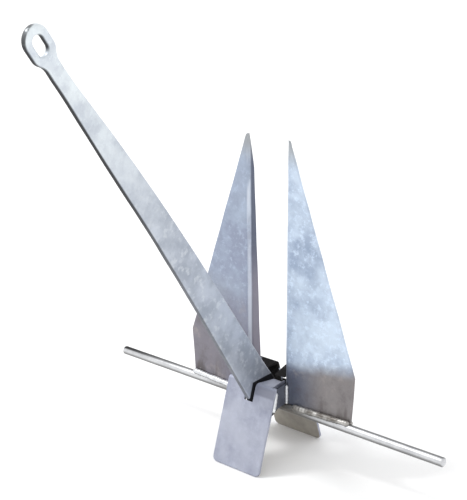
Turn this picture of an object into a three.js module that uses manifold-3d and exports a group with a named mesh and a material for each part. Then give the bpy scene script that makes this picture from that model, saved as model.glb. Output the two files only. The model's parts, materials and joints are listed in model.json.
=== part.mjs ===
// Pivoting fluke anchor in galvanised steel: two flat flukes welded to a round stock, a crown of two
// slotted palms tied to the flukes by side webs, and a flat tapered shank that swings on the stock.
// Millimetres, +Z up. The anchor is built about the stock's centre and stood on the floor at the end.
import * as THREE from 'three';
import { ConvexGeometry } from 'three/addons/geometries/ConvexGeometry.js';
import { mergeVertices } from 'three/addons/utils/BufferGeometryUtils.js';
import Module from 'manifold-3d';

const wasm = await Module();
wasm.setup();

// ---- driving dimensions -------------------------------------------------------------------------
const GAP = 0.3; // left between pieces that touch
const LOTS = 400; // reach of a cutting block, larger than the anchor's crown

const STOCK = { length: 580, radius: 6.5, chamfer: 1.5, sides: 32 };

const FLUKE = {
  thickness: 4,
  innerBase: 30, // distance of the folded inner edge from the middle, at the stock
  innerTip: 32, // and at the tip
  outerBase: 142,
  outerCorner: 146,
  cornerHeight: 74.5,
  tipHeight: 389,
  tipX: 35,
  tipRadius: 2.6,
  baseRadius: 3,
  bendRadius: 8,
  sweep: THREE.MathUtils.degToRad(2.2), // outer edges lie a little behind the inner ones
};
// The inner edge is folded back: its depth at the foot, at the top of its even part, and nothing at the tip.
const FLANGE = { baseDepth: 23, topDepth: 10, topHeight: 340 };

const PALM = {
  thickness: 4.5,
  halfWidth: 42,
  topY: 37, // where the palm's outer face meets the shoulder's top
  topZ: 42.2,
  footY: 76.5,
  footZ: -77.5,
  bendRadius: 6.5,
  cornerRadius: 7,
  shoulderEnd: 0.5, // distance of the shoulder's end from the flukes' middle plane
  slotHalfWidth: 7.5,
  slotMouthHalfWidth: 10.5,
  rearLift: 6, // the rear palm is this much taller than the front one
};

// Side webs: a little inside the palm's edge, and a little below the shoulder, to leave room for welds.
const WEB = {
  thickness: 4,
  palmX: 38, // its outer face at the palm
  flukeX: 34.5, // and at the fluke
  frontEnd: FLUKE.thickness / 2 + GAP,
  rearEnd: FLANGE.baseDepth + GAP,
  drop: 4.2,
};
const BEAD = { leg: 5.5, from: 46, toeOverhang: 1.5 };

const SHANK = {
  thickness: 8,
  swing: THREE.MathUtils.degToRad(34.4), // lean at the stop
  boreRadius: STOCK.radius + GAP,
  endRadius: 27.5,
  // half-widths of the tapering blade at distances from the pivot
  blade: [[30, 27.5], [90, 25.4], [265, 21.5], [387, 18.5], [455, 17], [535, 14.4], [606, 10.8]],
  bow: 4, // the blade's middle lies this far behind the line from pivot to neck
  eyeOffset: 3.5, // and the eye this far in front of it
  segments: 20, // along each arc
  neckHalfWidth: 10.2,
  neckFillet: 22,
  eyeRadius: 17.7,
  eyeLow: 672.5, // centres of the eye's two end arcs
  eyeHigh: 687,
  holeRadius: 7.4,
  holeLow: 674.5,
  holeHigh: 685.3,
};

const FLUKE_BASE = STOCK.radius + GAP; // the flukes stand on the stock
const WEB_BASE = STOCK.radius + 2 * GAP;

// ---- helpers ------------------------------------------------------------------------------------
const X = new THREE.Vector3(1, 0, 0);
const Y = new THREE.Vector3(0, 1, 0);
const Z = new THREE.Vector3(0, 0, 1);

// The view in which an outline is drawn: which axes its x and y follow, and which way it is pushed.
const PLAN = [X, Y, Z];
const FRONT = [X, Z, Y.clone().negate()];
const SIDE = [Y, Z, X];

// A closed prism: an outline drawn in a view and pushed from one depth to another.
function prism(outline, view, from, to, curveSegments = 8) {
  const shape = outline instanceof THREE.Shape
    ? outline
    : new THREE.Shape(outline.map(([x, y]) => new THREE.Vector2(x, y)));
  const geometry = new THREE.ExtrudeGeometry(shape, { depth: to - from, bevelEnabled: false, curveSegments });
  geometry.translate(0, 0, from);
  geometry.applyMatrix4(new THREE.Matrix4().makeBasis(...view));
  return geometry;
}

function toManifold(geometry) {
  const bare = geometry.index ? geometry.toNonIndexed() : geometry.clone();
  bare.deleteAttribute('normal');
  bare.deleteAttribute('uv');
  const merged = mergeVertices(bare, 1e-4);
  return new wasm.Manifold(new wasm.Mesh({
    numProp: 3,
    vertProperties: new Float32Array(merged.attributes.position.array),
    triVerts: new Uint32Array(merged.index.array),
  }));
}

function toGeometry(manifold) {
  const mesh = manifold.getMesh();
  const geometry = new THREE.BufferGeometry();
  geometry.setAttribute('position', new THREE.BufferAttribute(new Float32Array(mesh.vertProperties), 3));
  geometry.setIndex(new THREE.BufferAttribute(new Uint32Array(mesh.triVerts), 1));
  geometry.computeVertexNormals();
  return geometry;
}

const common = (...geometries) => geometries.map(toManifold).reduce((a, b) => a.intersect(b));
const cut = (body, ...cutters) => cutters.map(toManifold).reduce((a, b) => a.subtract(b), body);

const zinc = (color, roughness) => new THREE.MeshStandardMaterial({ color, roughness, metalness: 0.85 });
const SHEET_ZINC = zinc(0xb9c2d2, 0.5);
const BAR_ZINC = zinc(0xc6cbd0, 0.42);
const PALM_ZINC = zinc(0xb7bccb, 0.5);
const WELD_ZINC = zinc(0xdfe3e8, 0.35);

const anchor = new THREE.Group();

function add(name, geometry, material) {
  const mesh = new THREE.Mesh(geometry, material);
  mesh.name = name;
  anchor.add(mesh);
  return mesh;
}

// Everything on the right is repeated on the left.
const SIDES = [['right', 1], ['left', -1]];
// Turning a piece over left to right also flips its triangles, so their order is turned back.
function mirrored(geometry, axis) {
  const copy = geometry.clone();
  copy.scale(axis === X ? -1 : 1, axis === Y ? -1 : 1, 1);
  const index = copy.index ? Array.from(copy.index.array) : [...Array(copy.attributes.position.count).keys()];
  for (let i = 0; i < index.length; i += 3) {
    [index[i], index[i + 1]] = [index[i + 1], index[i]];
  }
  copy.setIndex(index);
  return copy;
}
const onSide = (geometry, sign) => (sign > 0 ? geometry : mirrored(geometry, X));

// ---- stock --------------------------------------------------------------------------------------
function stock() {
  const half = STOCK.length / 2;
  const { radius, chamfer } = STOCK;
  const profile = [
    [0, -half], [radius - chamfer, -half], [radius, -half + chamfer],
    [radius, half - chamfer], [radius - chamfer, half], [0, half],
  ].map(([r, y]) => new THREE.Vector2(r, y));
  const bar = new THREE.LatheGeometry(profile, STOCK.sides);
  bar.rotateZ(-Math.PI / 2);
  return bar;
}

// ---- flukes -------------------------------------------------------------------------------------
// Cross-section of the right fluke: a flat plate whose inner edge is folded towards the rear.
function flukeSection() {
  const { innerBase, thickness, bendRadius } = FLUKE;
  const half = thickness / 2;
  const bendX = innerBase + bendRadius;
  const bendY = bendRadius - half;
  const section = new THREE.Shape();
  section.moveTo(LOTS, -half);
  section.lineTo(LOTS, half);
  section.lineTo(bendX, half);
  section.absarc(bendX, bendY, bendRadius - thickness, -Math.PI / 2, Math.PI, true);
  section.lineTo(innerBase + thickness, FLANGE.baseDepth);
  section.lineTo(innerBase, FLANGE.baseDepth);
  section.lineTo(innerBase, bendY);
  section.absarc(bendX, bendY, bendRadius, Math.PI, -Math.PI / 2, false);
  return section;
}

function flukeOutline() {
  const { outerBase, outerCorner, cornerHeight, tipHeight, tipX, tipRadius, baseRadius } = FLUKE;
  const tipCentre = tipHeight - tipRadius;
  const outline = new THREE.Shape();
  outline.moveTo(0, FLUKE_BASE);
  outline.lineTo(outerBase - baseRadius, FLUKE_BASE);
  outline.absarc(outerBase - baseRadius, FLUKE_BASE + baseRadius, baseRadius, -Math.PI / 2, 0);
  outline.lineTo(outerCorner, cornerHeight);
  outline.lineTo(tipX + tipRadius, tipCentre);
  outline.absarc(tipX, tipCentre, tipRadius, 0, Math.PI);
  outline.lineTo(0, 0.9 * tipCentre);
  return outline;
}

// Side view of the flange, which narrows evenly and then runs out at the tip.
function flangeTaper() {
  const { baseDepth, topDepth, topHeight } = FLANGE;
  const { tipHeight, thickness } = FLUKE;
  return [
    [-LOTS, 0], [baseDepth, 0], [topDepth, topHeight], [thickness / 2, tipHeight], [-LOTS, tipHeight],
  ];
}

function fluke() {
  const lean = Math.atan2(FLUKE.innerTip - FLUKE.innerBase, FLUKE.tipHeight);
  const folded = prism(flukeSection(), PLAN, -20, 2 * LOTS);
  folded.rotateY(lean);
  const flat = toGeometry(common(
    folded,
    prism(flukeOutline(), FRONT, -LOTS, LOTS),
    prism(flangeTaper(), SIDE, 0, LOTS),
  ));
  const hinge = FLUKE.innerBase + FLUKE.bendRadius;
  return flat.translate(-hinge, 0, 0).rotateZ(FLUKE.sweep).translate(hinge, 0, 0);
}

// ---- crown --------------------------------------------------------------------------------------
// The front palm is described; the rear one is the same thing seen from behind, but taller.
const FLARE = Math.atan2(PALM.footY - PALM.topY, PALM.topZ - PALM.footZ);
const palmInner = (z) => -PALM.topY + PALM.thickness / Math.cos(FLARE) - (PALM.topZ - z) * Math.tan(FLARE);

// Where the outer faces of palm and shoulder meet; the rear palm's face runs on up to a higher shoulder.
function palmTop(sign) {
  const lift = sign > 0 ? PALM.rearLift : 0;
  return { topY: PALM.topY - lift * Math.tan(FLARE), topZ: PALM.topZ + lift };
}

// Side view of the folded strip: a level shoulder, a bend, and a palm flaring down and forward.
function palmSection(sign) {
  const { thickness, footY, footZ, bendRadius, shoulderEnd } = PALM;
  const { topY, topZ } = palmTop(sign);
  const tangent = bendRadius * Math.tan((Math.PI / 2 - FLARE) / 2);
  const bend = [-topY + tangent, topZ - bendRadius];
  const outward = Math.PI - FLARE; // direction in which the palm's outer face looks
  const inner = [thickness * Math.cos(FLARE), -thickness * Math.sin(FLARE)];
  const section = new THREE.Shape();
  section.moveTo(-shoulderEnd, topZ);
  section.absarc(...bend, bendRadius, Math.PI / 2, outward);
  section.lineTo(-footY, footZ);
  section.lineTo(-footY + inner[0], footZ + inner[1]);
  section.absarc(...bend, bendRadius - thickness, outward, Math.PI / 2, true);
  section.lineTo(-shoulderEnd, topZ - thickness);
  return section;
}

// Outline of the flat blank, drawn square to the palm, with its rounded foot corners.
function palmBlank(sign) {
  const { halfWidth, cornerRadius, footY, footZ } = PALM;
  const { topY, topZ } = palmTop(sign);
  const length = Math.hypot(footY - topY, topZ - footZ);
  const outline = new THREE.Shape();
  outline.moveTo(halfWidth, LOTS / 4);
  outline.lineTo(-halfWidth, LOTS / 4);
  outline.absarc(-halfWidth + cornerRadius, -length + cornerRadius, cornerRadius, Math.PI, 1.5 * Math.PI);
  outline.absarc(halfWidth - cornerRadius, -length + cornerRadius, cornerRadius, 1.5 * Math.PI, 2 * Math.PI);
  const blank = prism(outline, FRONT, -LOTS / 4, LOTS / 4, 6);
  blank.rotateX(-FLARE);
  blank.translate(0, -topY, topZ);
  return blank;
}

// Space the leaning shank needs: everything behind its front edge, which then rests on the slot's end.
function shankSpace() {
  const [[u0, v0], [u1, v1]] = SHANK.blade;
  const edge = (u) => -v0 - ((v1 - v0) / (u1 - u0)) * (u - u0) - GAP;
  const behindEdge = [[edge(-LOTS), -LOTS], [LOTS, -LOTS], [LOTS, LOTS], [edge(LOTS), LOTS]];
  const space = prism(behindEdge, SIDE, -LOTS, LOTS);
  space.rotateX(SHANK.swing);
  return space;
}

function slotPlan(sign) {
  const { slotHalfWidth: narrow, slotMouthHalfWidth: wide } = PALM;
  const { topY } = palmTop(sign);
  return [
    [-narrow, -LOTS], [narrow, -LOTS], [narrow, -topY], [wide, 0], [wide, 5],
    [-wide, 5], [-wide, 0], [-narrow, -topY],
  ];
}

// Outer face of the right web in plan: its x for a given y.
const webSlope = (WEB.palmX - WEB.flukeX) / (PALM.topY - WEB.frontEnd);
const webOuter = (y) => WEB.flukeX + webSlope * (-y - WEB.frontEnd);
const webInset = (distance) => distance * Math.hypot(1, webSlope);

// What the shoulder gives up to the web beside it, in plan.
function mitrePlan(sign) {
  const front = palmInner(palmTop(sign).topZ);
  const clear = webInset(WEB.thickness + GAP);
  return [
    [webOuter(front) - clear, front], [LOTS, front], [LOTS, 5], [webOuter(5) - clear, 5],
  ];
}

function palm(sign) {
  const mitre = prism(mitrePlan(sign), PLAN, -LOTS, LOTS);
  const cutters = [mitre, mirrored(mitre, X)];
  if (sign > 0) {
    // The rear shoulder also passes between the two flanges.
    const clear = FLUKE.innerBase - 3 * GAP;
    const front = -WEB.rearEnd - GAP;
    const beside = prism([[clear, front], [LOTS, front], [LOTS, 5], [clear, 5]], PLAN, 0, LOTS);
    cutters.push(beside, mirrored(beside, X));
  }
  const slot = common(prism(slotPlan(sign), PLAN, -LOTS, LOTS), shankSpace());
  const strip = common(prism(palmSection(sign), SIDE, -LOTS, LOTS), palmBlank(sign));
  return toGeometry(cut(strip.subtract(slot), ...cutters));
}

const webEnd = (sign) => (sign > 0 ? -WEB.rearEnd : -WEB.frontEnd);

// Upright side plate from the palm's edge back to the fluke, or at the rear to the end of the flange.
function web(sign) {
  const start = -PALM.footY;
  const end = webEnd(sign);
  const inset = webInset(WEB.thickness);
  const outer = [[webOuter(start), start], [webOuter(end), end]];
  const inner = outer.map(([x, y]) => [x - inset, y]).reverse();
  const { topZ } = palmTop(sign);
  const plate = prism([...outer, ...inner], PLAN, WEB_BASE, topZ - WEB.drop);
  // The plate starts behind the palm, and behind the whole of the fold higher up.
  const foldZ = topZ - PALM.bendRadius;
  const behindFold = palmInner(topZ) + GAP;
  const palmSpace = prism(
    [[-LOTS, LOTS], [-LOTS, -LOTS], [palmInner(-LOTS) + GAP, -LOTS], [palmInner(foldZ) + GAP, foldZ],
      [behindFold, foldZ], [behindFold, LOTS]],
    SIDE, -LOTS, LOTS,
  );
  return toGeometry(cut(toManifold(plate), palmSpace));
}

// ---- weld beads ---------------------------------------------------------------------------------
// Fillet along the foot of the fluke, following its swept face and lying on the round of the stock.
function baseBead(sign) {
  const { leg, from, toeOverhang } = BEAD;
  const seat = STOCK.radius + GAP;
  const clear = (FLUKE.thickness / 2 + GAP) / Math.cos(FLUKE.sweep);
  const section = (x) => {
    const face = -sign * (x - FLUKE.innerBase - FLUKE.bendRadius) * Math.tan(FLUKE.sweep) - clear;
    const toeY = Math.max(face - leg, -seat - toeOverhang);
    const toeZ = Math.abs(toeY) < seat ? Math.sqrt(seat ** 2 - toeY ** 2) : toeOverhang;
    const top = seat + leg;
    const outline = [[face, 0], [face, top], [(face + toeY) / 2 - 0.8, (top + toeZ) / 2 + 0.8], [toeY, toeZ]];
    return outline.map(([y, z]) => new THREE.Vector3(x, y, z));
  };
  const bead = new ConvexGeometry([...section(from), ...section(FLUKE.outerBase)]);
  const round = new THREE.CylinderGeometry(seat, seat, LOTS, STOCK.sides);
  round.rotateZ(Math.PI / 2);
  return toGeometry(cut(toManifold(bead), round));
}

// Upright fillet in the corner between a web and its fluke, or at the rear between web and flange.
function cornerBead(sign) {
  const { leg } = BEAD;
  let corner;
  if (sign > 0) {
    const flangeX = FLUKE.innerBase + FLUKE.thickness + 3 * GAP;
    const end = -WEB.rearEnd + GAP;
    corner = [[flangeX, end], [webOuter(end), end], [flangeX + 0.3 * leg, end + 0.6 * leg],
      [flangeX, end + leg]];
  } else {
    const face = -WEB.frontEnd;
    const clear = webInset(GAP);
    const along = [webOuter(face - leg) + clear, face - leg];
    corner = [[webOuter(face) + clear, face], along, [along[0] + 0.4 * leg, face - 0.7 * leg],
      [WEB.flukeX + 1.1 * leg, face]];
  }
  return prism(corner, PLAN, WEB_BASE + GAP, palmTop(sign).topZ - leg);
}

// Fillet in the outer corner between a palm's inner face and the web that stands inside its edge.
function palmBead(sign) {
  const clear = webInset(GAP);
  const low = WEB_BASE + 1;
  const high = palmTop(sign).topZ - PALM.bendRadius;
  const width = PALM.halfWidth - webOuter(palmInner(high)) - clear;
  // Drawn square to the palm: x outward from the web, y away from the palm's inner face.
  const corner = [[0, 0], [width, 0], [0.75 * width, 0.6 * BEAD.leg], [0, BEAD.leg + 1]];
  const at = (z) => corner.map(([x, y]) => {
    const depth = palmInner(z) + GAP / Math.cos(FLARE) + y;
    return new THREE.Vector3(webOuter(depth) + clear + x, depth, z);
  });
  return new ConvexGeometry([...at(low), ...at(high)]);
}

// Bead along the top of a web, beside the shoulder's slanting edge.
function shoulderBead(sign) {
  const { topZ } = palmTop(sign);
  const base = topZ - WEB.drop + GAP;
  const start = palmInner(topZ) + GAP;
  const end = webEnd(sign);
  const width = webInset(WEB.thickness);
  const crest = topZ + 0.5;
  const points = [start, end].flatMap((y) => [
    [webOuter(y) - width, base], [webOuter(y), base], [webOuter(y) - 0.3 * width, crest - 1],
    [webOuter(y) - 0.65 * width, crest], [webOuter(y) - width, crest - 0.6],
  ].map(([x, z]) => new THREE.Vector3(x, y, z)));
  return new ConvexGeometry(points);
}

// ---- shank --------------------------------------------------------------------------------------
// Drawn upright: x across the blade, y up from the pivot.
function shankOutline() {
  const { endRadius, blade, bow, eyeOffset, neckHalfWidth: neck, neckFillet: fillet } = SHANK;
  const { eyeRadius, eyeLow, eyeHigh, holeRadius, holeLow, holeHigh } = SHANK;
  const drop = Math.sqrt((eyeRadius + fillet) ** 2 - (neck + fillet) ** 2);
  const filletY = eyeLow - drop;
  const turn = Math.atan2(drop, neck + fillet);
  const neckLow = filletY - fillet / 2;
  const bowed = (along) => {
    const share = (along - blade[0][0]) / (neckLow - blade[0][0]);
    return bow * Math.sin(Math.PI * share) ** 2 - eyeOffset * share ** 6;
  };
  const edge = (way) => blade.map(([along, half]) => new THREE.Vector2(way * half + bowed(along), along));
  const right = edge(1);
  const left = edge(-1).reverse();

  const outline = new THREE.Shape();
  outline.moveTo(endRadius, 0);
  outline.lineTo(right[0].x, right[0].y);
  outline.splineThru([...right.slice(1), new THREE.Vector2(neck - eyeOffset, neckLow)]);
  outline.absarc(neck + fillet - eyeOffset, filletY, fillet, Math.PI, Math.PI - turn, true);
  outline.absarc(-eyeOffset, eyeLow, eyeRadius, -turn, 0);
  outline.absarc(-eyeOffset, eyeHigh, eyeRadius, 0, Math.PI);
  outline.absarc(-eyeOffset, eyeLow, eyeRadius, Math.PI, Math.PI + turn);
  outline.absarc(-neck - fillet - eyeOffset, filletY, fillet, turn, 0, true);
  outline.lineTo(-neck - eyeOffset, neckLow);
  outline.splineThru(left);
  outline.lineTo(-endRadius, 0);
  outline.absarc(0, 0, endRadius, Math.PI, 2 * Math.PI);

  const bore = new THREE.Path().absarc(0, 0, SHANK.boreRadius, 0, 2 * Math.PI);
  const slot = new THREE.Path();
  slot.absarc(-eyeOffset, holeHigh, holeRadius, 0, Math.PI);
  slot.absarc(-eyeOffset, holeLow, holeRadius, Math.PI, 2 * Math.PI);
  outline.holes.push(bore, slot);
  return outline;
}

function shank() {
  return prism(shankOutline(), SIDE, -SHANK.thickness / 2, SHANK.thickness / 2, SHANK.segments);
}

// ---- assembly -----------------------------------------------------------------------------------
add('stock', stock(), BAR_ZINC);
for (const [side, sign] of SIDES) {
  add(`fluke_${side}`, onSide(fluke(), sign), SHEET_ZINC);
}
for (const [end, way] of [['front', -1], ['rear', 1]]) {
  // Each crown piece is drawn for the front and turned over for the rear.
  const place = (geometry, sign) => {
    const turned = way > 0 ? mirrored(geometry, Y) : geometry;
    return onSide(turned, sign);
  };
  add(`palm_${end}`, place(palm(way), 1), PALM_ZINC);
  for (const [side, sign] of SIDES) {
    add(`web_${end}_${side}`, place(web(way), sign), PALM_ZINC);
    add(`weld_stock_${end}_${side}`, place(baseBead(way), sign), WELD_ZINC);
    add(`weld_fluke_${end}_${side}`, place(cornerBead(way), sign), WELD_ZINC);
    add(`weld_palm_${end}_${side}`, place(palmBead(way), sign), WELD_ZINC);
    add(`weld_shoulder_${end}_${side}`, place(shoulderBead(way), sign), WELD_ZINC);
  }
}
add('shank', shank(), BAR_ZINC).rotation.x = SHANK.swing;

// Stand the anchor on the floor, over the middle of its own footprint.
const box = new THREE.Box3().setFromObject(anchor, true);
const middle = box.getCenter(new THREE.Vector3());
anchor.position.set(-middle.x, -middle.y, -box.min.z);

export default anchor;
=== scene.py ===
"""Looks of a pivoting fluke anchor in hot-dip galvanised steel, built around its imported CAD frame.

Metres, +Z up. Plates and bars are copies of the CAD solids with rounded edges and the slight waves of a
dipped plate; weld beads are modelled as rippled runs. All coatings are procedural.
"""
import json
import math

import bmesh
import bpy
from mathutils import Matrix, Vector, noise


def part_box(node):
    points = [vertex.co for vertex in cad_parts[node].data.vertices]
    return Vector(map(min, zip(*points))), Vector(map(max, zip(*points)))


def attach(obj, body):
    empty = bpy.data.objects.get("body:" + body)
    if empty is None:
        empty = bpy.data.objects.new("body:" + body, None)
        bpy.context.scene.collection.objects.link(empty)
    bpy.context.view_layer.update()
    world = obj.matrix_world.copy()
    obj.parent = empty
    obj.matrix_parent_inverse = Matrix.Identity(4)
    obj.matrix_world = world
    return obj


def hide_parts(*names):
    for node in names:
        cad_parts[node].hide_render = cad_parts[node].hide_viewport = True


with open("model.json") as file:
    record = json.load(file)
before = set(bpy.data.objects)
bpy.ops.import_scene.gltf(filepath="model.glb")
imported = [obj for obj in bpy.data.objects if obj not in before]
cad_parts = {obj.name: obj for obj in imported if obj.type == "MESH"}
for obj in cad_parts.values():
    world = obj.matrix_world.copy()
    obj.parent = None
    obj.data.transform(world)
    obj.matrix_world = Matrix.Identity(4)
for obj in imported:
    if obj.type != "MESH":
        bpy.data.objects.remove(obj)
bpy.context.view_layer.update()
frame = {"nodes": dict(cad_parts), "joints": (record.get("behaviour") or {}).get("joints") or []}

MM = 0.001
PIVOT = Vector(frame["joints"][0]["pos_m"])
SHANK_LEAN = math.radians(34.4)
SHANK_WAY = Vector((0, -math.sin(SHANK_LEAN), math.cos(SHANK_LEAN)))  # from the pivot to the eye
SHANK_FRONT = Vector((0, -math.cos(SHANK_LEAN), -math.sin(SHANK_LEAN)))  # where its front edge looks

PALM_FLARE = math.radians(18.26)  # how far the palms lean out from upright
PALM_CREST = Vector((0, -37, 42.2)) * MM  # from the pivot to where the front palm's face meets its shoulder
UP = Vector((0, 0, 1))
DOWN = -UP
RIGHT = Vector((1, 0, 0))
LEFT = -RIGHT

# ---- camera, floor and light ----------------------------------------------------------------------
# The camera fitted to the anchor's outline in the photo: metres, degrees, and the lens in mm.
CAMERA = {
    "from_pivot": Vector((0.9339, -1.1859, 0.7447)),
    "azimuth": 40.03,
    "elevation": 18.84,
    "roll": -0.59,
    "lens": 83.14,
}
FLOOR_SIZE = 60
FLOOR_COLOUR = (0.98, 0.98, 0.98, 1)
SKY_STRENGTH = 1.0
# Soft sunlight from the left, the front and above.
SUN = {"from": Vector((-0.55, -0.4, 0.9)), "strength": 1.15, "softness": math.radians(14)}


def make_camera():
    azimuth, elevation, roll = (math.radians(CAMERA[k]) for k in ("azimuth", "elevation", "roll"))
    turn = (
        Matrix.Rotation(azimuth, 4, "Z")
        @ Matrix.Rotation(math.pi / 2 - elevation, 4, "X")
        @ Matrix.Rotation(roll, 4, "Z")
    )
    data = bpy.data.cameras.new("camera")
    data.lens = CAMERA["lens"]
    camera = bpy.data.objects.new("camera", data)
    camera.matrix_world = Matrix.Translation(PIVOT + CAMERA["from_pivot"]) @ turn
    bpy.context.scene.collection.objects.link(camera)
    bpy.context.scene.camera = camera


def plain_material(name, colour, roughness):
    material = bpy.data.materials.new(name)
    material.use_nodes = True
    shader = material.node_tree.nodes["Principled BSDF"]
    shader.inputs["Base Color"].default_value = colour
    shader.inputs["Roughness"].default_value = roughness
    return material


def make_floor():
    mesh = bmesh.new()
    bmesh.ops.create_grid(mesh, x_segments=1, y_segments=1, size=FLOOR_SIZE / 2)
    floor = link_mesh("floor", mesh)
    floor.data.materials.append(plain_material("floor_white", FLOOR_COLOUR, 0.9))


def make_light():
    scene = bpy.context.scene
    scene.view_settings.view_transform = "Standard"
    world = bpy.data.worlds.new("sky")
    world.use_nodes = True
    world.node_tree.nodes["Background"].inputs["Color"].default_value = (1, 1, 1, 1)
    world.node_tree.nodes["Background"].inputs["Strength"].default_value = SKY_STRENGTH
    scene.world = world
    data = bpy.data.lights.new("sun", "SUN")
    data.energy = SUN["strength"]
    data.angle = SUN["softness"]
    sun = bpy.data.objects.new("sun", data)
    sun.rotation_euler = SUN["from"].to_track_quat("Z", "Y").to_euler()
    scene.collection.objects.link(sun)


def link_mesh(name, mesh):
    """An object in the scene, made from a bmesh that isn't needed afterwards."""
    data = bpy.data.meshes.new(name)
    mesh.to_mesh(data)
    mesh.free()
    piece = bpy.data.objects.new(name, data)
    bpy.context.scene.collection.objects.link(piece)
    return piece


# ---- coatings -------------------------------------------------------------------------------------
def srgb(red, green, blue):
    """A colour given as it looks on a screen, from 0 to 255, in the linear values that shaders take."""
    def linear(value):
        share = value / 255
        return share / 12.92 if share <= 0.04045 else ((share + 0.055) / 1.055) ** 2.4
    return (linear(red), linear(green), linear(blue), 1)


CROWN_SHADE = srgb(14, 14, 18)  # painted shade, nearly black, in the top of the crown


class Coating:
    """A zinc coating in the making: mottled, with spangle crystals; tints are laid over it by masks."""

    def __init__(self, name, pale, deep, mottle=16, crystal=110, crystal_share=0.3, flecks=0.0):
        self.material = bpy.data.materials.new(name)
        self.material.use_nodes = True
        self.tree = self.material.node_tree
        self.shader = self.tree.nodes["Principled BSDF"]
        own = self.add("ShaderNodeTexCoord")
        self.place = own.outputs["Object"]
        self.normal = own.outputs["Normal"]
        self.clouds = self.noise(mottle, detail=5, roughness=0.62)
        self.grain = self.noise(900, detail=3, roughness=0.6)
        self.crystals = self.spangle(crystal)
        self.shine = 1.0
        self.colour = self.mix(self.ramp(self.clouds, 0.34, 0.66), deep, pale)
        light = tuple(min(1, 1.2 * c) for c in pale[:3]) + (1,)
        dark = tuple(0.76 * c for c in deep[:3]) + (1,)
        self.tint(self.ramp(self.crystals, 0.45, 1.0), light, crystal_share)
        self.tint(self.ramp(self.crystals, 0.5, 0.0), dark, 0.5 * crystal_share)
        if flecks:
            self.tint(self.ramp(self.noise(110, detail=6, roughness=0.8), 0.5, 0.64), light, flecks)

    def add(self, kind, **settings):
        node = self.tree.nodes.new(kind)
        for key, value in settings.items():
            setattr(node, key, value)
        return node

    def feed(self, socket, value):
        if isinstance(value, bpy.types.NodeSocket):
            self.tree.links.new(value, socket)
        else:
            socket.default_value = value

    def noise(self, scale, detail=2.0, roughness=0.5, place=None):
        node = self.add("ShaderNodeTexNoise")
        self.feed(node.inputs["Vector"], place or self.place)
        node.inputs["Scale"].default_value = scale
        node.inputs["Detail"].default_value = detail
        node.inputs["Roughness"].default_value = roughness
        return node.outputs["Fac"]

    def spangle(self, scale):
        """A random number for each zinc crystal; the crystals' borders are feathered by noise."""
        feather = self.add("ShaderNodeTexNoise")
        self.feed(feather.inputs["Vector"], self.place)
        feather.inputs["Scale"].default_value = 4 * scale
        feather.inputs["Detail"].default_value = 4
        offset = self.add("ShaderNodeVectorMath", operation="MULTIPLY_ADD")
        self.feed(offset.inputs[0], feather.outputs["Color"])
        offset.inputs[1].default_value = (0.9 / scale,) * 3
        self.feed(offset.inputs[2], self.place)
        cells = self.add("ShaderNodeTexVoronoi", feature="SMOOTH_F1")
        self.feed(cells.inputs["Vector"], offset.outputs[0])
        cells.inputs["Scale"].default_value = scale
        cells.inputs["Smoothness"].default_value = 0.6
        split = self.add("ShaderNodeSeparateColor")
        self.feed(split.inputs[0], cells.outputs["Color"])
        return split.outputs[0]

    def math(self, operation, *values):
        node = self.add("ShaderNodeMath", operation=operation)
        for socket, value in zip(node.inputs, values):
            self.feed(socket, value)
        return node.outputs[0]

    def both(self, one, two):
        """The product of two masks."""
        return self.math("MULTIPLY", one, two)

    def ramp(self, value, start, end):
        """0 at start, 1 at end, and smooth between."""
        node = self.add("ShaderNodeMapRange", interpolation_type="SMOOTHSTEP")
        self.feed(node.inputs["Value"], value)
        node.inputs["From Min"].default_value = start
        node.inputs["From Max"].default_value = end
        return node.outputs[0]

    def dot(self, vector, way):
        node = self.add("ShaderNodeVectorMath", operation="DOT_PRODUCT")
        self.feed(node.inputs[0], vector)
        node.inputs[1].default_value = way
        return node.outputs["Value"]

    def along(self, way, start, end, ragged=0.0):
        """A mask that rises from start to end, distances from the pivot in a direction."""
        distance = self.math("SUBTRACT", self.dot(self.place, way), PIVOT.dot(way))
        if ragged:
            drift = self.math("SUBTRACT", self.noise(22, detail=4), 0.5)
            distance = self.math("MULTIPLY_ADD", drift, 2 * ragged, distance)
        return self.ramp(distance, start, end)

    def facing(self, way, start=0.4, end=0.9):
        """A mask that rises as the surface turns to look in a direction."""
        return self.ramp(self.dot(self.normal, Vector(way).normalized()), start, end)

    def from_middle(self, start, end):
        """A mask that rises with the distance from the plane X = 0."""
        split = self.add("ShaderNodeSeparateXYZ")
        self.feed(split.inputs[0], self.place)
        return self.ramp(self.math("ABSOLUTE", split.outputs["X"]), start, end)

    def streaks(self, stretch):
        """Noise drawn out along Z, from 0 to 1."""
        flow = self.add("ShaderNodeMapping")
        self.feed(flow.inputs["Vector"], self.place)
        flow.inputs["Scale"].default_value = (1, 1, 1 / stretch)
        return self.noise(70, detail=4, roughness=0.6, place=flow.outputs[0])

    def mix(self, share, first, second):
        """The first colour where the share is 0, the second where it is 1."""
        node = self.add("ShaderNodeMix", data_type="RGBA")
        sockets = [socket for socket in node.inputs if socket.enabled]
        for socket, value in zip(sockets, (share, first, second)):
            self.feed(socket, value)
        return next(socket for socket in node.outputs if socket.enabled)

    def tint(self, mask, colour, share=1.0):
        """Lay a colour over the coating where the mask says, as thickly as the share says."""
        self.colour = self.mix(self.math("MULTIPLY", mask, share), self.colour, colour)

    def paint_shade(self, mask, colour):
        """Painted shade: a dark colour that hardly reflects."""
        self.tint(mask, colour, 0.97)
        self.shine = self.both(self.shine, self.math("SUBTRACT", 1, self.both(mask, 0.9)))

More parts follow.
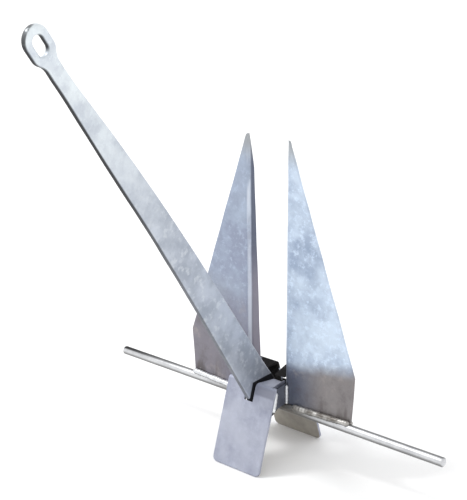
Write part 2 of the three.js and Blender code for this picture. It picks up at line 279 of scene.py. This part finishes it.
    def close(self, roughness=(0.36, 0.58), metallic=0.55, relief=0.25):
        """Roughness varies with the crystals and the grain; crystals and grain stand out in the bump."""
        shader = self.shader
        self.feed(shader.inputs["Base Color"], self.colour)
        self.feed(shader.inputs["Metallic"], self.both(self.shine, metallic))
        self.feed(shader.inputs["Specular IOR Level"], self.both(self.shine, 0.5))
        spread = self.math("MULTIPLY_ADD", self.crystals, 0.5, self.math("MULTIPLY", self.grain, 0.5))
        low, high = roughness
        self.feed(shader.inputs["Roughness"], self.math("MULTIPLY_ADD", spread, high - low, low))
        height = self.math("MULTIPLY_ADD", self.crystals, 0.3, self.math("MULTIPLY", self.grain, 0.4))
        height = self.math("MULTIPLY_ADD", self.noise(260, detail=2), 0.9, height)
        bump = self.add("ShaderNodeBump")
        bump.inputs["Strength"].default_value = relief
        bump.inputs["Distance"].default_value = 0.4 * MM
        self.feed(bump.inputs["Height"], height)
        self.feed(shader.inputs["Normal"], bump.outputs[0])
        return self.material


# Each fluke's plate and its foot, darkened by a painted reflection: how high the foot reaches and over what
# height it fades.
FLUKE_LOOKS = {
    "right": {
        "pale": srgb(200, 214, 230),
        "deep": srgb(152, 167, 190),
        "foot_top": 75 * MM,
        "foot_fade": 24 * MM,
        "foot_reflection_by_crown": srgb(90, 94, 110),
        "foot_reflection_further_out": srgb(124, 117, 114),
    },
    "left": {
        "pale": srgb(162, 174, 192),
        "deep": srgb(142, 150, 170),
        "foot_top": 190 * MM,
        "foot_fade": 130 * MM,
        "foot_reflection_by_crown": srgb(118, 116, 130),
        "foot_reflection_further_out": srgb(124, 119, 126),
    },
}
FOOT_RISE = 0.14  # the foot's upper edge rises by this much for each unit outward


def fluke_coating(side, pale, deep, foot_top, foot_fade, foot_reflection_by_crown, foot_reflection_further_out):
    """Pale plate with a foot darkened by a painted reflection and real stains, dark runs above the weld, a
    painted highlight along the bend, painted shade on the flange and a grey tip.
    """
    coat = Coating(f"zinc_fluke_{side}", pale, deep, crystal_share=0.25, flecks=0.6)
    inward = LEFT if side == "right" else RIGHT

    # The foot: a painted dark reflection, with real stains laid over it.
    foot = coat.along(DOWN - FOOT_RISE * inward, -foot_top, -foot_top + foot_fade, ragged=8 * MM)
    foot_reflection_colour = coat.mix(coat.from_middle(45 * MM, 100 * MM), foot_reflection_by_crown, foot_reflection_further_out)
    coat.tint(foot, foot_reflection_colour, 0.92)
    stain = coat.noise(38, detail=6, roughness=0.7)
    coat.tint(coat.both(foot, coat.ramp(stain, 0.5, 0.68)), srgb(92, 86, 88), 0.4)
    coat.tint(coat.both(foot, coat.ramp(stain, 0.48, 0.3)), srgb(168, 160, 156), 0.4)

    runs = coat.ramp(coat.streaks(4), 0.48, 0.68)
    low = coat.along(DOWN, -58 * MM, -8 * MM, ragged=10 * MM)
    coat.tint(coat.both(coat.both(runs, low), coat.from_middle(60 * MM, 110 * MM)), srgb(84, 78, 76), 0.7)

    # A painted highlight along the bend.
    bend_highlight = coat.facing(inward + Vector((0, -1, 0)), 0.88, 0.98)
    coat.tint(coat.both(bend_highlight, coat.ramp(coat.streaks(6), 0.3, 0.6)), srgb(222, 228, 238), 0.6)
    # Painted shade on the flange, which faces sideways; deeper higher up.
    high_up = coat.along(UP, 160 * MM, 240 * MM, ragged=15 * MM)
    flange_shade = coat.mix(high_up, srgb(126, 122, 134), srgb(82, 88, 106))
    coat.tint(coat.facing(inward + Vector((0, 0.1, 0)), 0.75, 0.97), flange_shade, 0.9)

    tip_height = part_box(f"fluke_{side}")[1].z - PIVOT.z
    tip = coat.along(UP, tip_height - 45 * MM, tip_height - 5 * MM, ragged=6 * MM)
    coat.tint(tip, srgb(158, 160, 160), 0.8)
    return coat.close()


def crown_coating():
    """Even blue-lavender plate, with a band of painted shade below the shoulder on the right of the front
    palm's slot.
    """
    coat = Coating(
        "zinc_crown", srgb(174, 178, 192), srgb(146, 150, 168), crystal=90, crystal_share=0.2, flecks=0.25,
    )
    # Painted shade in a band below the shoulder, right of the slot.
    shade_under_shoulder = coat.both(coat.along(UP, 26 * MM, 30 * MM), coat.along(DOWN, -42 * MM, -38 * MM))
    beside_slot = coat.both(coat.facing((0, -1, 0.3), 0.3, 0.7), coat.along(RIGHT, 7 * MM, 11 * MM))
    coat.tint(coat.both(shade_under_shoulder, beside_slot), srgb(112, 114, 128), 0.6)
    return coat.close(roughness=(0.42, 0.62), metallic=0.5)


def inner_coating():
    """What faces the inside of the crown: grey low down, with painted shade that turns it nearly black at the
    top.
    """
    coat = Coating("zinc_crown_inside", srgb(176, 171, 162), srgb(146, 141, 134), crystal_share=0.2)
    # Painted shade, nearly black, at the top of the crown.
    coat.paint_shade(coat.along(UP, -12 * MM, 12 * MM), CROWN_SHADE)
    return coat.close(roughness=(0.6, 0.8), metallic=0.3)


def shaded_web_coating():
    """Even plate, darkened all over as painted shade, so darker than the palms."""
    coat = Coating("zinc_web_shaded", srgb(112, 116, 128), srgb(84, 88, 102), crystal_share=0.2)
    return coat.close(roughness=(0.45, 0.65), metallic=0.5)


def bar_coating():
    """Round bar, bright along its front, with painted shade above and below, most of all towards the left
    end, and painted shade near the crown.
    """
    coat = Coating(
        "zinc_bar", srgb(216, 217, 219), srgb(188, 189, 192), mottle=24, crystal=90, crystal_share=0.15,
    )
    top = Vector((0, 0.53, 0.85))
    # Painted shade along the top.
    coat.tint(coat.facing(top, 0.5, 0.85), srgb(70, 70, 72), 0.85)
    # Deeper painted shade towards the left end.
    near_left_end = coat.along(LEFT, 100 * MM, 290 * MM)
    coat.paint_shade(coat.both(coat.facing(top, -0.1, 0.5), near_left_end), srgb(36, 36, 38))
    # Painted shade on the underside.
    coat.tint(coat.facing(-top, 0.25, 0.85), srgb(92, 91, 90), 0.85)
    # Painted shade near the crown.
    near_crown = coat.math("SUBTRACT", 1, coat.from_middle(40 * MM, 110 * MM))
    coat.tint(near_crown, srgb(120, 116, 110), 0.7)
    return coat.close(roughness=(0.28, 0.45), metallic=0.6)


def shank_coating():
    """Nearly white towards the eye; greyer with painted shade and more mottled towards the crown; painted
    shade on its front edge and its root.
    """
    coat = Coating(
        "zinc_shank", srgb(226, 233, 236), srgb(202, 209, 218), mottle=20, crystal=100, flecks=0.35,
    )
    # Painted shade greys the bar towards the crown, over the zinc's own mottle.
    near_crown = coat.along(-SHANK_WAY, -720 * MM, -280 * MM, ragged=50 * MM)
    grey_mottle = coat.mix(coat.ramp(coat.clouds, 0.35, 0.65), srgb(148, 155, 168), srgb(180, 186, 199))
    coat.tint(near_crown, grey_mottle, 0.85)
    spots = coat.both(near_crown, coat.ramp(coat.noise(90, detail=4, roughness=0.7), 0.5, 0.66))
    coat.tint(spots, srgb(208, 213, 219), 0.6)

    # Painted shade along the front edge, deeper towards the eye.
    darker_upward = coat.math("MULTIPLY_ADD", coat.along(SHANK_WAY, 200 * MM, 500 * MM), 0.3, 0.7)
    coat.paint_shade(coat.both(coat.facing(SHANK_FRONT, 0.3, 1.0), darker_upward), srgb(40, 40, 42))
    eye_rim = coat.both(
        coat.facing(SHANK_WAY + 0.6 * SHANK_FRONT, 0.35, 0.75),
        coat.along(SHANK_WAY, 680 * MM, 690 * MM),
    )
    coat.tint(coat.both(eye_rim, coat.ramp(coat.noise(90), 0.4, 0.55)), srgb(66, 68, 70), 0.85)

    # The root is painted in shade, nearly black, where it lies under the shoulder and behind the front palm's
    # face.
    shoulder = PALM_CREST.z
    under_shoulder = coat.along(DOWN, -(shoulder + 2.3 * MM), -(shoulder + 0.8 * MM))
    out_of_palm = Vector((0, -math.cos(PALM_FLARE), math.sin(PALM_FLARE)))
    palm_face = out_of_palm.dot(PALM_CREST)
    behind_palm = coat.along(-out_of_palm, -(palm_face + 3.5 * MM), -(palm_face + 2 * MM))
    coat.paint_shade(coat.both(under_shoulder, behind_palm), CROWN_SHADE)
    return coat.close(roughness=(0.38, 0.56), metallic=0.5)


def weld_coating(name, pale, deep, roughness):
    """Zinc over weld metal, with painted shade on its underside."""
    coat = Coating(name, pale, deep, mottle=70, crystal=60, crystal_share=0.1)
    # Painted shade on the underside.
    coat.tint(coat.facing((0, -0.3, -1), 0.1, 0.75), srgb(110, 109, 108), 0.7)
    return coat.close(roughness=roughness, metallic=0.6)


# ---- plates and bars ------------------------------------------------------------------------------
SHARP_EDGE = math.radians(28)  # edges between faces that turn more than this are rounded
WAVE_SCALE = 24  # a plate's waves are about 1 / 24 m apart
# For each kind of plate: the rounding of its edges, the size of its cells and the height of its waves.
PLATES = {
    "fluke": {"rounding": 0.8 * MM, "cell": 6 * MM, "wave": 0.5 * MM},
    "palm": {"rounding": 0.9 * MM, "cell": 6 * MM, "wave": 0.4 * MM},
    "web": {"rounding": 0.6 * MM, "cell": 5 * MM, "wave": 0.2 * MM},
}


def round_edges(mesh, rounding_at):
    """Round the sharp edges of a solid; rounding_at gives the radius at a point."""
    weight = mesh.edges.layers.float.new("bevel_weight_edge")
    sharp = [e for e in mesh.edges if e.is_manifold and e.calc_face_angle() > SHARP_EDGE]
    wanted = {e: rounding_at((e.verts[0].co + e.verts[1].co) / 2) for e in sharp}
    widest = max(wanted.values())
    for edge, rounding in wanted.items():
        edge[weight] = rounding / widest
    blank = link_mesh("blank", mesh)
    bevel = blank.modifiers.new("round", "BEVEL")
    bevel.limit_method = "WEIGHT"
    bevel.width = widest
    bevel.segments = 4
    bevel.use_clamp_overlap = False
    shaped = blank.evaluated_get(bpy.context.evaluated_depsgraph_get())
    rounded = bmesh.new()
    rounded.from_mesh(shaped.data)
    blank_data = blank.data
    bpy.data.objects.remove(blank)
    bpy.data.meshes.remove(blank_data)
    return rounded


def rounded_copy(node, rounding_at, cell, wave):
    """A copy of a CAD solid: edges rounded, faces cut into cells, and the surface gently waved."""
    mesh = bmesh.new()
    mesh.from_mesh(frame["nodes"][node].data)
    bmesh.ops.remove_doubles(mesh, verts=mesh.verts, dist=1e-6)
    bmesh.ops.dissolve_limit(mesh, angle_limit=math.radians(0.2), verts=mesh.verts, edges=mesh.edges)
    mesh = round_edges(mesh, rounding_at)
    low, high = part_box(node)
    for axis in range(3):
        cells = int((high[axis] - low[axis]) / cell)
        for step in range(1, cells):
            through = Vector(low)
            through[axis] += step * (high[axis] - low[axis]) / cells
            square = Vector((0, 0, 0))
            square[axis] = 1
            whole = [*mesh.verts, *mesh.edges, *mesh.faces]
            bmesh.ops.bisect_plane(mesh, geom=whole, dist=0.02 * MM, plane_co=through, plane_no=square)
    mesh.normal_update()
    for vertex in mesh.verts:
        vertex.co += vertex.normal * wave * noise.noise(vertex.co * WAVE_SCALE)
    for face in mesh.faces:
        face.smooth = True
    piece = link_mesh(f"{node}_plate", mesh)
    weighted = piece.modifiers.new("even_faces", "WEIGHTED_NORMAL")
    weighted.weight = 80
    return piece


def plate(node, kind):
    """A copy of a CAD plate with the same rounding all round."""
    finish = PLATES[kind]
    return rounded_copy(node, lambda point: finish["rounding"], finish["cell"], finish["wave"])


def place(piece, node, body, slot):
    """Attach the piece to the body it moves with and hide the CAD solid it stands for; the slot is not used.
    """
    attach(piece, body)
    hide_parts(node)


def finish_faces(piece, coating, other, is_other):
    """Two coatings on one piece: the other one goes on the faces that is_other picks."""
    piece.data.materials.append(coating)
    piece.data.materials.append(other)
    for face in piece.data.polygons:
        face.material_index = int(is_other(face))


def make_flukes():
    for side, looks in FLUKE_LOOKS.items():
        node = f"fluke_{side}"
        piece = plate(node, "fluke")
        piece.data.materials.append(fluke_coating(side, **looks))
        place(piece, node, "crown", "fluke_zinc")


def make_crown():
    coating = crown_coating()
    inside = inner_coating()
    shaded_webs = shaded_web_coating()
    shoulder_level = PIVOT.z + 36 * MM
    for end, outward in (("front", -1), ("rear", 1)):
        def gets_inner_coating(face, outward=outward):
            """Faces that look into the crown, and the top of the rear shoulder, which is painted in shade."""
            on_rear_shoulder = outward > 0 and face.center.z > shoulder_level and face.normal.y < 0.3
            return face.normal.y * outward < -0.2 or on_rear_shoulder

        node = f"palm_{end}"
        piece = plate(node, "palm")
        finish_faces(piece, coating, inside, gets_inner_coating)
        place(piece, node, "crown", "crown_zinc")
        for side in ("right", "left"):
            node = f"web_{end}_{side}"
            piece = plate(node, "web")
            piece.data.materials.append(shaded_webs)
            place(piece, node, "crown", "crown_zinc")


def make_shank():
    """Flat bar, lightly rounded along the blade and well rounded round the eye."""
    blade_rounding = 2.1 * MM
    eye_rounding = 3 * MM
    neck_start = 620 * MM
    neck_end = 665 * MM

    def rounding_at(point):
        along = (point - PIVOT).dot(SHANK_WAY)
        share = min(1, max(0, (along - neck_start) / (neck_end - neck_start)))
        return blade_rounding + share * (eye_rounding - blade_rounding)

    piece = rounded_copy("shank", rounding_at, cell=7 * MM, wave=0.35 * MM)
    piece.data.materials.append(shank_coating())
    place(piece, "shank", "shank", "shank_zinc")


RING_PITCH = 1.2 * MM


def tube(centre_line, radius_at, sides=16):
    """A closed tube round a straight line of centres; radius_at gives the radius at a ring and an angle."""
    start, end = centre_line
    run = end - start
    rings = max(8, int(run.length / RING_PITCH))
    along = run.normalized()
    across = along.orthogonal().normalized()
    upward = along.cross(across)
    mesh = bmesh.new()
    loops = []
    for ring in range(rings + 1):
        share = ring / rings
        centre = start + share * run
        loop = []
        for side in range(sides):
            angle = 2 * math.pi * side / sides
            spoke = across * math.cos(angle) + upward * math.sin(angle)
            loop.append(mesh.verts.new(centre + spoke * radius_at(share * run.length, centre, spoke)))
        loops.append(loop)
    for one, two in zip(loops, loops[1:]):
        for side in range(sides):
            following = (side + 1) % sides
            mesh.faces.new((one[side], one[following], two[following], two[side]))
    mesh.faces.new(loops[0][::-1])
    mesh.faces.new(loops[-1])
    bmesh.ops.recalc_face_normals(mesh, faces=mesh.faces)
    for face in mesh.faces:
        face.smooth = len(face.verts) == 4
    return mesh


def make_stock():
    """Round bar with domed ends and the slight lumps of a drained coating."""
    low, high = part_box("stock")
    middle = (low + high) / 2
    radius = (high.z - low.z) / 2
    ends = [Vector((x, middle.y, middle.z)) for x in (low.x, high.x)]
    length = high.x - low.x
    dome = 2.5 * MM

    def radius_at(distance, centre, spoke):
        to_end = min(distance, length - distance)
        drop = max(0, 1 - to_end / dome)
        ripple = 0.12 * MM * noise.noise((centre + spoke * radius) * 45)
        return radius - dome * (1 - math.sqrt(1 - drop * drop)) + ripple

    piece = link_mesh("stock_bar", tube(ends, radius_at, sides=40))
    piece.data.materials.append(bar_coating())
    place(piece, "stock", "crown", "stock_zinc")


# ---- weld beads -----------------------------------------------------------------------------------
# Each run of beads: the axis it lies along, its radius, and its coating on either side.
BEADS = {
    "stock": {"axis": 0, "radius": 4.3 * MM, "right": "grey_mottle", "left": "bright"},
    "fluke": {"axis": 2, "radius": 2.4 * MM, "right": "bright", "left": "bright"},
    "palm": {"axis": 2, "radius": 3.5 * MM, "right": "bright", "left": "bright"},
    "shoulder": {"axis": 1, "radius": 2.2 * MM, "right": "dull", "left": "dull"},
}
RIPPLE_PITCH = 5 * MM


def end_middles(node, axis):
    """The middles of the two ends of a CAD bead."""
    low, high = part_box(node)
    near = 0.5 * MM
    corners = [v.co for v in frame["nodes"][node].data.vertices]
    groups = [
        [c for c in corners if c[axis] < low[axis] + near],
        [c for c in corners if c[axis] > high[axis] - near],
    ]
    return [sum(group, Vector()) / len(group) for group in groups]


def weld_bead(node, axis, radius):
    """A run of overlapping pools: rounded ends, a crest at each pool, and uneven width."""
    ends = end_middles(node, axis)
    length = (ends[1] - ends[0]).length

    def radius_at(distance, centre, spoke):
        to_end = min(distance, length - distance)
        drop = max(0, 1 - to_end / radius)
        cap = math.sqrt(max(0.02, 1 - drop * drop))
        crest = 0.96 + 0.05 * math.sin(2 * math.pi * distance / RIPPLE_PITCH)
        lump = 1 + 0.2 * noise.noise(centre * 90) + 0.06 * noise.noise((centre + spoke * radius) * 250)
        return radius * cap * crest * lump

    return link_mesh(f"{node}_run", tube(ends, radius_at))


def make_welds():
    coatings = {
        "bright": weld_coating(
            "zinc_weld", srgb(240, 242, 244), srgb(206, 208, 212), roughness=(0.2, 0.4),
        ),
        "dull": weld_coating(
            "zinc_weld_dull", srgb(120, 123, 134), srgb(86, 89, 102), roughness=(0.4, 0.6),
        ),
        "grey_mottle": weld_coating(
            "zinc_weld_worn", srgb(196, 194, 190), srgb(112, 107, 102), roughness=(0.3, 0.55),
        ),
    }
    for kind, run in BEADS.items():
        for end in ("front", "rear"):
            for side in ("right", "left"):
                node = f"weld_{kind}_{end}_{side}"
                piece = weld_bead(node, run["axis"], run["radius"])
                piece.data.materials.append(coatings[run[side]])
                place(piece, node, "crown", "weld_zinc")


# ---- build ----------------------------------------------------------------------------------------
make_camera()
make_floor()
make_light()
make_stock()
make_flukes()
make_crown()
make_welds()
make_shank()
